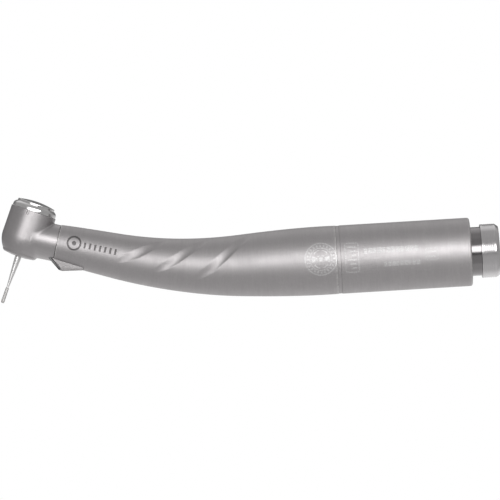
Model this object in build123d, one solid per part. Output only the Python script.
from build123d import *
import os
from math import asin, atan2, cos, degrees, radians, sin, sqrt, tan

# A dental high speed handpiece, in millimetres. The origin is the centre of the tail's rear face.
# +X points out of the tail, towards the hose, and +Z is the side of the push button.
# A station is the distance forward of the rear face along the handle's centreline.

# ---- Centreline ----
BEND_START = 64.0
BEND_RADIUS = 120.0
NECK_ANGLE = 15.5
SEAM_STATION = 111.0

# ---- Head: its axis, leaning back, and the place where the bur leaves it ----
HEAD_LEAN = 22.5
HEAD_ORIGIN = (-120.12, 0, 5.39)
HEAD_R = 5.78
HEAD_TOP = 12.05
CHAMBER_R = 4.8
CHAMBER_FLOOR = 4.45
SEAT_R = 3.65
SEAT_FLOOR = 1.5
NOSE_HOLE_R = 1.75
NECK_R = 4.62
NECK_HALF_WIDTH = 5.5
NECK_BORE_R = 3.7
NECK_BORE_END = 113.9

# ---- Cap and button ----
CAP_R = 5.62
CAP_TOP = 13.6
BUTTON_R = 4.75
BUTTON_BORE_R = 4.85
BUTTON_BOTTOM = 12.9
BUTTON_EDGE = 14.05
BUTTON_TOP = 14.65
CAP_FLOOR = 12.2
CAP_FLOOR_UNDER = 11.7
STEM_R = 1.15

# ---- Turbine ----
SPINDLE_R = 1.5875
SPINDLE_BORE_R = 1.15
SPINDLE_BOTTOM = 0.8
SPINDLE_TOP = 10.45
BEARING_R = 3.175
BEARING_HALF = 1.19
LOWER_BEARING = 2.9
UPPER_BEARING = 9.2
BALL_R = 0.5
BALL_PITCH_R = 2.38
BALLS = 8
IMPELLER_R = 4.45
IMPELLER_BOTTOM = 4.75
IMPELLER_TOP = 7.75
BLADES = 10
BUR_R = 0.8
BUR_TOP = 7.6
BUR_TIP = -12.1

# ---- Handle sleeves ----
SLEEVE_R = 8.55
SLEEVE_WALL = 0.95
REAR_END = 7.1
REAR_SEAM = 39.7
FRONT_SEAM = 40.6
GRIP_SECTIONS = [
    (FRONT_SEAM, SLEEVE_R),
    (46.0, 8.54),
    (53.0, 8.39),
    (62.0, 7.88),
    (74.0, 6.99),
    (86.0, 6.21),
    (98.0, 5.53),
    (SEAM_STATION, 4.72),
]
FLUTE_ANGLE = 42.6
FLUTE_RING_R = 21.0
FLUTE_TAPER = 3.8
FLUTE_CUTTER_R = 1.9
FLUTE_DEPTH = 0.3
FLUTES = [(69.3, 2.0), (80.2, 2.0), (90.9, 1.5)]  # station, and height of the middle

# ---- Tail ----
NECK_GROOVE_R = 6.1
COLLAR_FRONT = 4.6
COLLAR_R = 6.7
COLLAR_BORE_R = 5.6
TAIL_FRONT = 14.0
EXHAUST_PORT = (3.3, 0.0, 1.55)  # height, side, radius
DRIVE_PORT = (-2.9, 0.0, 1.2)
CHIP_PORT = (1.0, 3.3, 0.8)
WATER_PORT = (1.0, -3.3, 0.8)
SMALL_TUBE_R = 0.95
SMALL_TUBE_BORE_R = 0.6
DRIVE_TUBE_R = 1.0
DRIVE_TUBE_BORE_R = 0.75

# ---- Generator for the light, on the drive air line ----
GENERATOR_DROP = -2.9
GENERATOR_R = 3.9
GENERATOR_BORE_R = 3.4
GENERATOR_FRONT = 33.0
SHAFT_R = 0.6
BUSH_R = 1.2
RUNNING = 0.02


def at(station):
    """The plane across the handle at a station: x is up, y is sideways and z is forward."""
    turn = min(max(station - BEND_START, 0) / BEND_RADIUS, radians(NECK_ANGLE))
    start = min(station, BEND_START)
    beyond = max(station - BEND_START - BEND_RADIUS * radians(NECK_ANGLE), 0)
    x = -start - BEND_RADIUS * sin(turn) - beyond * cos(turn)
    z = BEND_RADIUS * (1 - cos(turn)) + beyond * sin(turn)
    return Plane((x, 0, z), x_dir=(sin(turn), 0, cos(turn)), z_dir=(-cos(turn), 0, sin(turn)))


lean = radians(HEAD_LEAN)
TAIL = at(0)
HEAD = Plane(HEAD_ORIGIN, x_dir=(cos(lean), 0, -sin(lean)), z_dir=(sin(lean), 0, cos(lean)))
GENERATOR = Plane(
    TAIL.from_local_coords((GENERATOR_DROP, 0, 0)), x_dir=TAIL.x_dir, z_dir=TAIL.z_dir
)


def turned(plane, *corners):
    """A solid of revolution about a plane's z axis, from (radius, height) corners."""
    outline = Polyline(*[(radius, 0, height) for radius, height in corners], close=True)
    return plane * revolve(make_face(outline), Axis.Z, 360)


def tube(plane, outer, inner, low, high):
    return turned(plane, (inner, low), (outer, low), (outer, high), (inner, high))


def rod(plane, radius, low, high, up=0, side=0):
    """A round bar along a plane's z axis, moved up and sideways from it."""
    bar = Cylinder(radius, high - low, align=(Align.CENTER, Align.CENTER, Align.MIN))
    return plane * Pos(up, side, low) * bar


def ring(plane, major, minor, height):
    return plane * Pos(0, 0, height) * Torus(major, minor)


def around(plane, shape, count, start=0):
    """Copies of a shape, evenly spaced about a plane's z axis."""
    turns = [Rot(0, 0, start + 360 * i / count) for i in range(count)]
    return [plane * turn * shape for turn in turns]


parts = {}

# ---- Handle ----


def grip(inset):
    """The front sleeve's solid form, made smaller all round by an inset."""
    sections = [at(station) * Circle(radius - inset) for station, radius in GRIP_SECTIONS]
    return loft(sections)


def grip_radius(station):
    """The sleeve's radius at a station, straight between the nearest two sections."""
    before = [section for section in GRIP_SECTIONS if section[0] <= station][-1]
    after = [section for section in GRIP_SECTIONS if section[0] > station][0]
    share = (station - before[0]) / (after[0] - before[0])
    return before[1] + share * (after[1] - before[1])


def flute(station, height, side):
    """A ring that cuts one slanting groove, which fades out at both ends."""
    surface = grip_radius(station)
    tilt = degrees(asin(height / surface))
    centre = FLUTE_CUTTER_R - FLUTE_DEPTH - FLUTE_RING_R
    cutter = Rot(0, 90 - FLUTE_ANGLE, 0) * Torus(FLUTE_RING_R, FLUTE_CUTTER_R)
    placed = Rot(0, 0, -tilt) * Pos(0, surface, 0) * Rot(FLUTE_TAPER, 0, 0) * Pos(0, centre, 0) * cutter
    return at(station) * (placed if side > 0 else mirror(placed, Plane.XZ))


front_sleeve = grip(0) - grip(SLEEVE_WALL)
for station, height in FLUTES:
    for side in (-1, 1):
        front_sleeve -= flute(station, height, side)
parts["front_sleeve"] = front_sleeve

inner_r = SLEEVE_R - SLEEVE_WALL
END_WALL = 1.7
EDGE = 0.5
parts["rear_sleeve"] = turned(
    TAIL,
    (NECK_GROOVE_R + RUNNING, REAR_END),
    (SLEEVE_R - EDGE, REAR_END),
    (SLEEVE_R - 0.15 * EDGE, REAR_END + 0.15 * EDGE + 0.15),
    (SLEEVE_R, REAR_END + EDGE),
    (SLEEVE_R, REAR_SEAM),
    (inner_r, REAR_SEAM),
    (inner_r, REAR_END + END_WALL),
    (NECK_GROOVE_R + RUNNING, REAR_END + END_WALL),
)

COUPLER_BORE_R = 6.9
COUPLER_ENDS = (35.0, 46.0)
SEAM_R = 8.47
SEAM_GAP = 0.03
COUPLER_SLACK = 0.12
parts["sleeve_coupler"] = turned(
    TAIL,
    (COUPLER_BORE_R, COUPLER_ENDS[0]),
    (inner_r - RUNNING, COUPLER_ENDS[0]),
    (inner_r - RUNNING, REAR_SEAM + SEAM_GAP),
    (SEAM_R, REAR_SEAM + SEAM_GAP),
    (SEAM_R, FRONT_SEAM - SEAM_GAP),
    (inner_r - COUPLER_SLACK, FRONT_SEAM - SEAM_GAP),
    (inner_r - COUPLER_SLACK, COUPLER_ENDS[1]),
    (COUPLER_BORE_R, COUPLER_ENDS[1]),
)

# ---- Tail ----
FLANGE = (9.1, 10.6)
FLANGE_R = inner_r - 0.05
BODY_R = 6.9
tail_body = turned(
    TAIL,
    (0, 0),
    (COLLAR_BORE_R, 0),
    (COLLAR_BORE_R, COLLAR_FRONT),
    (NECK_GROOVE_R, COLLAR_FRONT),
    (NECK_GROOVE_R, FLANGE[0]),
    (FLANGE_R, FLANGE[0]),
    (FLANGE_R, FLANGE[1]),
    (BODY_R, FLANGE[1]),
    (BODY_R, TAIL_FRONT),
    (0, TAIL_FRONT),
)
for up, side, radius in (EXHAUST_PORT, DRIVE_PORT, CHIP_PORT, WATER_PORT):
    tail_body -= rod(TAIL, radius, -1, TAIL_FRONT + 1, up, side)
parts["tail_body"] = tail_body

parts["threaded_collar"] = turned(
    TAIL,
    (COLLAR_BORE_R, 0),
    (5.95, 0),
    (COLLAR_R, 0.95),
    (COLLAR_R, COLLAR_FRONT - 0.25),
    (COLLAR_R - 0.2, COLLAR_FRONT),
    (COLLAR_BORE_R, COLLAR_FRONT),
)
TAIL_SEAL = (7.3, 6.3)  # outer and inner radius
seal_rear = REAR_END + END_WALL + RUNNING
parts["tail_seal"] = tube(TAIL, TAIL_SEAL[0], TAIL_SEAL[1], seal_rear, FLANGE[0] - RUNNING)

# ---- Tubes and wires through the handle ----
CORNER = BEND_START + BEND_RADIUS * tan(radians(NECK_ANGLE / 2))
NECK_LINE = at(SEAM_STATION)


def route(rear, front, first, last):
    """A path from the rear to the neck that closes in on the centreline: (height, side) pairs."""
    middle = [(a + b) / 2 for a, b in zip(rear, front)]
    points = [
        TAIL.from_local_coords((rear[0], rear[1], first)),
        TAIL.from_local_coords((rear[0], rear[1], 44)),
        TAIL.from_local_coords((middle[0], middle[1], CORNER)),
        at(103).from_local_coords((front[0], front[1], 0)),
        at(last).from_local_coords((front[0], front[1], 0)),
    ]
    return FilletPolyline(*points, radius=[60, 75, 30])


def piped(path, outer, inner):
    """A tube along a path, or a solid wire where its inner radius is 0."""
    start = Plane(path @ 0, z_dir=path % 0)
    body = sweep(start * Circle(outer), path=path)
    if inner:
        body -= sweep(start * Circle(inner), path=path)
    return body


TUBE_FRONT = 113.6
DRIVE_FRONT = (1.4, 0)  # height and side of each tube where it ends in the neck
CHIP_FRONT = (-1.3, 1.6)
WATER_FRONT = (-1.3, -1.6)
tube_rear = TAIL_FRONT + RUNNING
drive_path = route((GENERATOR_DROP, 0), DRIVE_FRONT, GENERATOR_FRONT, TUBE_FRONT)
parts["drive_air_tube"] = piped(drive_path, DRIVE_TUBE_R, DRIVE_TUBE_BORE_R)
chip_path = route(CHIP_PORT[:2], CHIP_FRONT, tube_rear, TUBE_FRONT)
parts["chip_air_tube"] = piped(chip_path, SMALL_TUBE_R, SMALL_TUBE_BORE_R)
water_path = route(WATER_PORT[:2], WATER_FRONT, tube_rear, TUBE_FRONT)
parts["water_tube"] = piped(water_path, SMALL_TUBE_R, SMALL_TUBE_BORE_R)

NUT_REAR = 107.6
NUT_BORE_R = 3.05
nut_low = NUT_REAR - SEAM_STATION
nut_high = TUBE_FRONT - SEAM_STATION
parts["neck_nut"] = tube(NECK_LINE, NECK_BORE_R - RUNNING, NUT_BORE_R, nut_low, nut_high)

# ---- Head housing ----
BULGE_R = 6.5  # the lower side's bulge, an arc that meets the head's straight side
BULGE_TOP = 5.2
BULGE_MIDDLE = 2.6
BULGE_LOW = 0.95
NOSE_LEVEL = 0.2
NOSE_EDGE = 0.5  # where the flat underside starts to turn up into the bulge


def bulge_radius(level):
    """The head's radius at a level of its bulge."""
    return HEAD_R - BULGE_R + sqrt(BULGE_R**2 - (BULGE_TOP - level) ** 2)


nose = (0, 0, NOSE_LEVEL)
under_edge = (bulge_radius(BULGE_LOW) - NOSE_EDGE, 0, NOSE_EDGE)
bulge_start = (bulge_radius(BULGE_LOW), 0, BULGE_LOW)
bulge_middle = (bulge_radius(BULGE_MIDDLE), 0, BULGE_MIDDLE)
bulge_end = (HEAD_R, 0, BULGE_TOP)
under = Polyline(nose, (NOSE_HOLE_R, 0, NOSE_LEVEL), under_edge)
corner = TangentArc(under_edge, bulge_start, tangent=under % 1)
bulge = ThreePointArc(bulge_start, bulge_middle, bulge_end)
side_wall = Polyline(bulge_end, (HEAD_R, 0, HEAD_TOP), (0, 0, HEAD_TOP), nose)
head_form = HEAD * revolve(make_face(Curve() + [under, corner, bulge, side_wall]), Axis.Z, 360)

STUB_MIDDLE = SEAM_STATION + 2.0
STUB_END = SEAM_STATION + 6.4
stub = loft([
    NECK_LINE * Circle(NECK_R),
    at(STUB_MIDDLE) * Ellipse(NECK_R + 0.02, NECK_R + 0.12),
    at(STUB_END) * Ellipse(NECK_R + 0.1, NECK_HALF_WIDTH),
])
head_solid = head_form + stub
head = head_solid
head -= tube(HEAD, CHAMBER_R, 0, CHAMBER_FLOOR, HEAD_TOP + 1)
head -= rod(HEAD, SEAT_R, SEAT_FLOOR, CHAMBER_FLOOR + 0.1)
head -= rod(HEAD, NOSE_HOLE_R, -1, SEAT_FLOOR + 0.1)
head -= rod(NECK_LINE, NECK_BORE_R, -1, NECK_BORE_END - SEAM_STATION)
head -= rod(NECK_LINE, DRIVE_TUBE_BORE_R, 0, STUB_END - SEAM_STATION, DRIVE_FRONT[0], DRIVE_FRONT[1])
parts["head_housing"] = head

# ---- Back cap and push button ----
SKIRT_R = 4.75
SKIRT_BOTTOM = 8.1
SHOULDER = 10.75
RECESS_R = 2.3
STEM_HOLE_R = 1.25
parts["back_cap"] = turned(
    HEAD,
    (STEM_HOLE_R, CAP_FLOOR_UNDER),
    (RECESS_R, CAP_FLOOR_UNDER),
    (RECESS_R, SHOULDER),
    (SEAT_R, SHOULDER),
    (SEAT_R, SKIRT_BOTTOM),
    (SKIRT_R, SKIRT_BOTTOM),
    (SKIRT_R, HEAD_TOP + 0.05),
    (CAP_R, HEAD_TOP + 0.05),
    (CAP_R - 0.08, 12.9),
    (CAP_R - 0.2, 13.2),
    (CAP_R - 0.45, CAP_TOP - 0.12),
    (CAP_R - 0.65, CAP_TOP),
    (BUTTON_BORE_R, CAP_TOP),
    (BUTTON_BORE_R, CAP_FLOOR),
    (STEM_HOLE_R, CAP_FLOOR),
)

dome = BUTTON_TOP - BUTTON_EDGE
STEM_BOTTOM = 11.2
CLIP_GROOVE = (11.4, 11.66)
CLIP_GROOVE_R = 0.9
SPRING_POCKET = (2.4, 13.5)
DOME_R = (BUTTON_R**2 + dome**2) / (2 * dome)
button = turned(
    HEAD,
    (0, BUTTON_TOP),
    (0, STEM_BOTTOM),
    (STEM_R, STEM_BOTTOM),
    (STEM_R, CLIP_GROOVE[0]),
    (CLIP_GROOVE_R, CLIP_GROOVE[0]),
    (CLIP_GROOVE_R, CLIP_GROOVE[1]),
    (STEM_R, CLIP_GROOVE[1]),
    (STEM_R, SPRING_POCKET[1]),
    (SPRING_POCKET[0], SPRING_POCKET[1]),
    (SPRING_POCKET[0], BUTTON_BOTTOM),
    (BUTTON_R, BUTTON_BOTTOM),
    (BUTTON_R, BUTTON_EDGE - 0.12),
    (BUTTON_R - 0.2, BUTTON_TOP),
)
parts["push_button"] = button & HEAD * Pos(0, 0, BUTTON_TOP - DOME_R) * Sphere(DOME_R)
CLIP_R = 1.9
CLIP_OPENING = 1.2
clip_low = CLIP_GROOVE[0] + RUNNING
clip_high = CLIP_GROOVE[1] - RUNNING
clip = tube(HEAD, CLIP_R, CLIP_GROOVE_R + RUNNING, clip_low, clip_high)
opening = Pos(CLIP_R, 0, (clip_low + clip_high) / 2) * Box(2 * CLIP_R, CLIP_OPENING, 1)
parts["button_clip"] = clip - HEAD * opening

SPRING_R = 1.9
SPRING_WIRE = 0.14
SPRING_TURNS = 3
spring_low = CAP_FLOOR + SPRING_WIRE + RUNNING / 2
spring_high = SPRING_POCKET[1] - SPRING_WIRE - RUNNING / 2
coil = Helix((spring_high - spring_low) / SPRING_TURNS, spring_high - spring_low, SPRING_R)
coil_start = Plane(coil @ 0, z_dir=coil % 0)
spring = sweep(coil_start * Circle(SPRING_WIRE), path=coil, is_frenet=True)
parts["button_spring"] = HEAD * Pos(0, 0, spring_low) * spring

# ---- Turbine bearings ----
OUTER_RACE_BORE_R = 2.66
INNER_RACE_R = 2.1
CAGE_RADII = (2.58, 2.18)
CAGE_HALF = 0.72
RING_SLACK = 0.004


def together(shapes):
    """Several separate solids as one part."""
    return Compound(children=[Solid(shape.solid().wrapped) for shape in shapes])


for name, level in {"upper": UPPER_BEARING, "lower": LOWER_BEARING}.items():
    low = level - BEARING_HALF
    high = level + BEARING_HALF
    groove = ring(HEAD, BALL_PITCH_R, BALL_R + RUNNING, level)
    balls = around(HEAD, Pos(BALL_PITCH_R, 0, level) * Sphere(BALL_R), BALLS)
    pocket = Pos(BALL_PITCH_R, 0, level) * Rot(0, 90, 0) * Cylinder(BALL_R + RUNNING, 2)
    cage = tube(HEAD, CAGE_RADII[0], CAGE_RADII[1], level - CAGE_HALF, level + CAGE_HALF)
    parts[name + "_bearing_outer"] = tube(HEAD, BEARING_R, OUTER_RACE_BORE_R, low, high) - groove
    parts[name + "_bearing_inner"] = tube(HEAD, INNER_RACE_R, SPINDLE_R, low, high) - groove
    parts[name + "_bearing_cage"] = cage - around(HEAD, pocket, BALLS)
    parts[name + "_bearing_balls"] = together(balls)
    ring_minor = (SEAT_R - BEARING_R) / 2 - RING_SLACK
    parts[name + "_suspension_ring"] = ring(HEAD, (SEAT_R + BEARING_R) / 2, ring_minor, level)

WASHER_RADII = (3.1, 2.7)
WASHER_GAP = 0.03
washer_low = UPPER_BEARING + BEARING_HALF + WASHER_GAP
parts["wave_washer"] = tube(HEAD, WASHER_RADII[0], WASHER_RADII[1], washer_low, SHOULDER - WASHER_GAP)

# ---- Turbine ----
parts["spindle"] = tube(HEAD, SPINDLE_R, SPINDLE_BORE_R, SPINDLE_BOTTOM, SPINDLE_TOP)
HUB_R = 2.4
BLADE_THICKNESS = 0.5
blade_length = IMPELLER_R - HUB_R + 0.1
blade_height = IMPELLER_TOP - IMPELLER_BOTTOM
blade = Box(blade_length, BLADE_THICKNESS, blade_height)
blade = Pos(IMPELLER_R - blade_length / 2, 0, IMPELLER_BOTTOM + blade_height / 2) * blade
hub = tube(HEAD, HUB_R, SPINDLE_R, IMPELLER_BOTTOM, IMPELLER_TOP)
impeller = hub + around(HEAD, blade, BLADES)
parts["impeller"] = impeller & rod(HEAD, IMPELLER_R, IMPELLER_BOTTOM, IMPELLER_TOP)

COLLET = (1.0, 8.0)
SLOT_WIDTH = 0.16
SLOT_LENGTH = 3.8
collet = tube(HEAD, SPINDLE_BORE_R - RUNNING, BUR_R + RUNNING, COLLET[0], COLLET[1])
collet_slot = Pos(0, 0, COLLET[1] - SLOT_LENGTH / 2 + 0.1) * Box(3, SLOT_WIDTH, SLOT_LENGTH + 0.2)
parts["chuck_collet"] = collet - around(HEAD, collet_slot, 4)
parts["chuck_release_pin"] = turned(HEAD, (0, 8.4), (0.6, 8.4), (0.95, 9.0), (0.95, 10.75), (0, 10.75))

# ---- Bur: a round shank, a long taper and a diamond coated working end ----
parts["bur"] = turned(
    HEAD,
    (0, BUR_TOP),
    (BUR_R - 0.15, BUR_TOP),
    (BUR_R, BUR_TOP - 0.15),
    (BUR_R, -0.6),
    (0.27, -7.9),
    (0.38, -8.3),
    (0.43, -11.6),
    (0.3, -12.0),
    (0, BUR_TIP),
)

# ---- Light under the neck ----
LIGHT_TIP = (-112.45, 4.75)
LENS_FOOT = (-110.0, 1.55)
LIGHT_CHIN = (-109.3, 1.3)
LIGHT_HEEL = (-104.0, 1.15)
LIGHT_HALF_WIDTH = 2.6
LENS_THICKNESS = 0.5
slope = atan2(LIGHT_TIP[1] - LENS_FOOT[1], LENS_FOOT[0] - LIGHT_TIP[0])
lens_in = (LENS_THICKNESS * sin(slope), LENS_THICKNESS * cos(slope))


def upright(*corners, half_width):
    """A flat outline of (x, z) corners, thickened equally to both sides."""
    face = make_face(Polyline(*[(x, 0, z) for x, z in corners], close=True))
    return extrude(face, amount=half_width, dir=(0, 1, 0), both=True)


behind_tip = (LIGHT_TIP[0] + lens_in[0], LIGHT_TIP[1] + lens_in[1])
behind_foot = (LENS_FOOT[0] + lens_in[0], LENS_FOOT[1] + lens_in[1])
above_tip = (LIGHT_TIP[0] + 2.0, LIGHT_TIP[1] + 2.0)
above_heel = (LIGHT_HEEL[0], LIGHT_HEEL[1] + 3.0)
neck_solid = head_solid + grip(0)
block = upright(
    behind_tip, behind_foot, LENS_FOOT, LIGHT_CHIN, LIGHT_HEEL, above_heel, above_tip,
    half_width=LIGHT_HALF_WIDTH,
)
POCKET = (-109.7, -106.4, 1.6, 3.2)  # front, rear, bottom and top
POCKET_WIDTH = 2.4
pocket_length = POCKET[1] - POCKET[0]
pocket_middle = (POCKET[0] + POCKET[1]) / 2
pocket_space = Box(pocket_length, POCKET_WIDTH, POCKET[3] - POCKET[2])
block -= Pos(pocket_middle, 0, (POCKET[2] + POCKET[3]) / 2) * pocket_space
parts["led_housing"] = block - neck_solid
lens = upright(LIGHT_TIP, LENS_FOOT, behind_foot, behind_tip, half_width=LIGHT_HALF_WIDTH)
parts["led_lens"] = lens - neck_solid
BOARD_THICKNESS = 0.2
BOARD_GAP = 0.1
CHIP_SIZE = 0.8
CHIP_HEIGHT = 0.4
board = Box(pocket_length - 2 * BOARD_GAP, POCKET_WIDTH - 2 * BOARD_GAP, BOARD_THICKNESS)
parts["led_board"] = Pos(pocket_middle, 0, POCKET[2] + BOARD_THICKNESS / 2) * board
chip_middle = POCKET[2] + BOARD_THICKNESS + CHIP_HEIGHT / 2
parts["led_chip"] = Pos(POCKET[0] + CHIP_SIZE, 0, chip_middle) * Box(CHIP_SIZE, CHIP_SIZE, CHIP_HEIGHT)

# ---- Generator: each pair of stations is a part's rear and front ----
HOUSING_REAR = 14.4
HOUSING_HOLE_R = 1.0
HOUSING_WALL = 1.0
END_CAP = (14.5, 16.0)
FRONT_PLATE = (30.5, 31.5)
CORE = (22.0, 30.0)
COIL = (22.4, 29.6)
CORE_BORE_R = 2.9
COIL_RADII = (2.88, 2.35)
MAGNET = (22.8, 29.2)
MAGNET_R = 2.0
GENERATOR_HUB = (17.2, 19.8)
GENERATOR_HUB_R = 1.3
VANE_TIP_R = 2.95
VANES = 8
NOZZLE_R = 0.5
VENT_R = 0.7
HOLE_CIRCLE_R = 2.2
plate_r = GENERATOR_BORE_R - RUNNING
parts["generator_housing"] = turned(
    GENERATOR,
    (GENERATOR_BORE_R, HOUSING_REAR),
    (GENERATOR_R, HOUSING_REAR),
    (GENERATOR_R, GENERATOR_FRONT),
    (HOUSING_HOLE_R, GENERATOR_FRONT),
    (HOUSING_HOLE_R, GENERATOR_FRONT - HOUSING_WALL),
    (GENERATOR_BORE_R, GENERATOR_FRONT - HOUSING_WALL),
)


def plate(stations, hole_r):
    """A disc inside the generator with three holes and room for a bush."""
    hole = Pos(HOLE_CIRCLE_R, 0, sum(stations) / 2) * Cylinder(hole_r, 4)
    return tube(GENERATOR, plate_r, BUSH_R, *stations) - around(GENERATOR, hole, 3)


parts["generator_end_cap"] = plate(END_CAP, NOZZLE_R)
parts["generator_front_plate"] = plate(FRONT_PLATE, VENT_R)
parts["rear_bush"] = tube(GENERATOR, BUSH_R, SHAFT_R + RUNNING, *END_CAP)
parts["front_bush"] = tube(GENERATOR, BUSH_R, SHAFT_R + RUNNING, *FRONT_PLATE)
parts["stator_core"] = tube(GENERATOR, plate_r, CORE_BORE_R, *CORE)
parts["stator_coil"] = tube(GENERATOR, COIL_RADII[0], COIL_RADII[1], *COIL)
parts["generator_shaft"] = rod(GENERATOR, SHAFT_R, END_CAP[0] + 0.1, FRONT_PLATE[1] - 0.1)
parts["rotor_magnet"] = tube(GENERATOR, MAGNET_R, SHAFT_R, *MAGNET)
vane_length = VANE_TIP_R - GENERATOR_HUB_R + 0.25
vane = Box(vane_length, 0.4, GENERATOR_HUB[1] - GENERATOR_HUB[0])
vane = Pos(VANE_TIP_R - vane_length / 2, 0, sum(GENERATOR_HUB) / 2) * vane
generator_hub = tube(GENERATOR, GENERATOR_HUB_R, SHAFT_R, *GENERATOR_HUB)
parts["generator_impeller"] = generator_hub + around(GENERATOR, vane, VANES)

# ---- Wires from the generator to the light, through a hole in the sleeve's underside ----
WIRE_R = 0.22
WIRE_SPACING = 1.0
WIRE_HOLE = (106.2, 0.95)  # station and radius
wires = []
for side in (-WIRE_SPACING / 2, WIRE_SPACING / 2):
    wire_points = [
        TAIL.from_local_coords((-5.6, side, GENERATOR_FRONT + RUNNING)),
        TAIL.from_local_coords((-5.6, side, 44)),
        TAIL.from_local_coords((-4.5, side, CORNER)),
        at(101).from_local_coords((-3.4, side, 0)),
        at(WIRE_HOLE[0]).from_local_coords((-3.5, side, 0)),
        at(WIRE_HOLE[0]).from_local_coords((-5.2, side, 0)),
    ]
    wires.append(piped(FilletPolyline(*wire_points, radius=[60, 75, 20, 0.7]), WIRE_R, 0))
parts["led_wires"] = together(wires)
downward = at(WIRE_HOLE[0]) * Rot(0, -90, 0)
hole_bar = Cylinder(WIRE_HOLE[1], SLEEVE_R, align=(Align.CENTER, Align.CENTER, Align.MIN))
parts["front_sleeve"] -= downward * hole_bar

os.makedirs("parts", exist_ok=True)
for name, shape in parts.items():
    export_step(shape, f"parts/{name}.step")
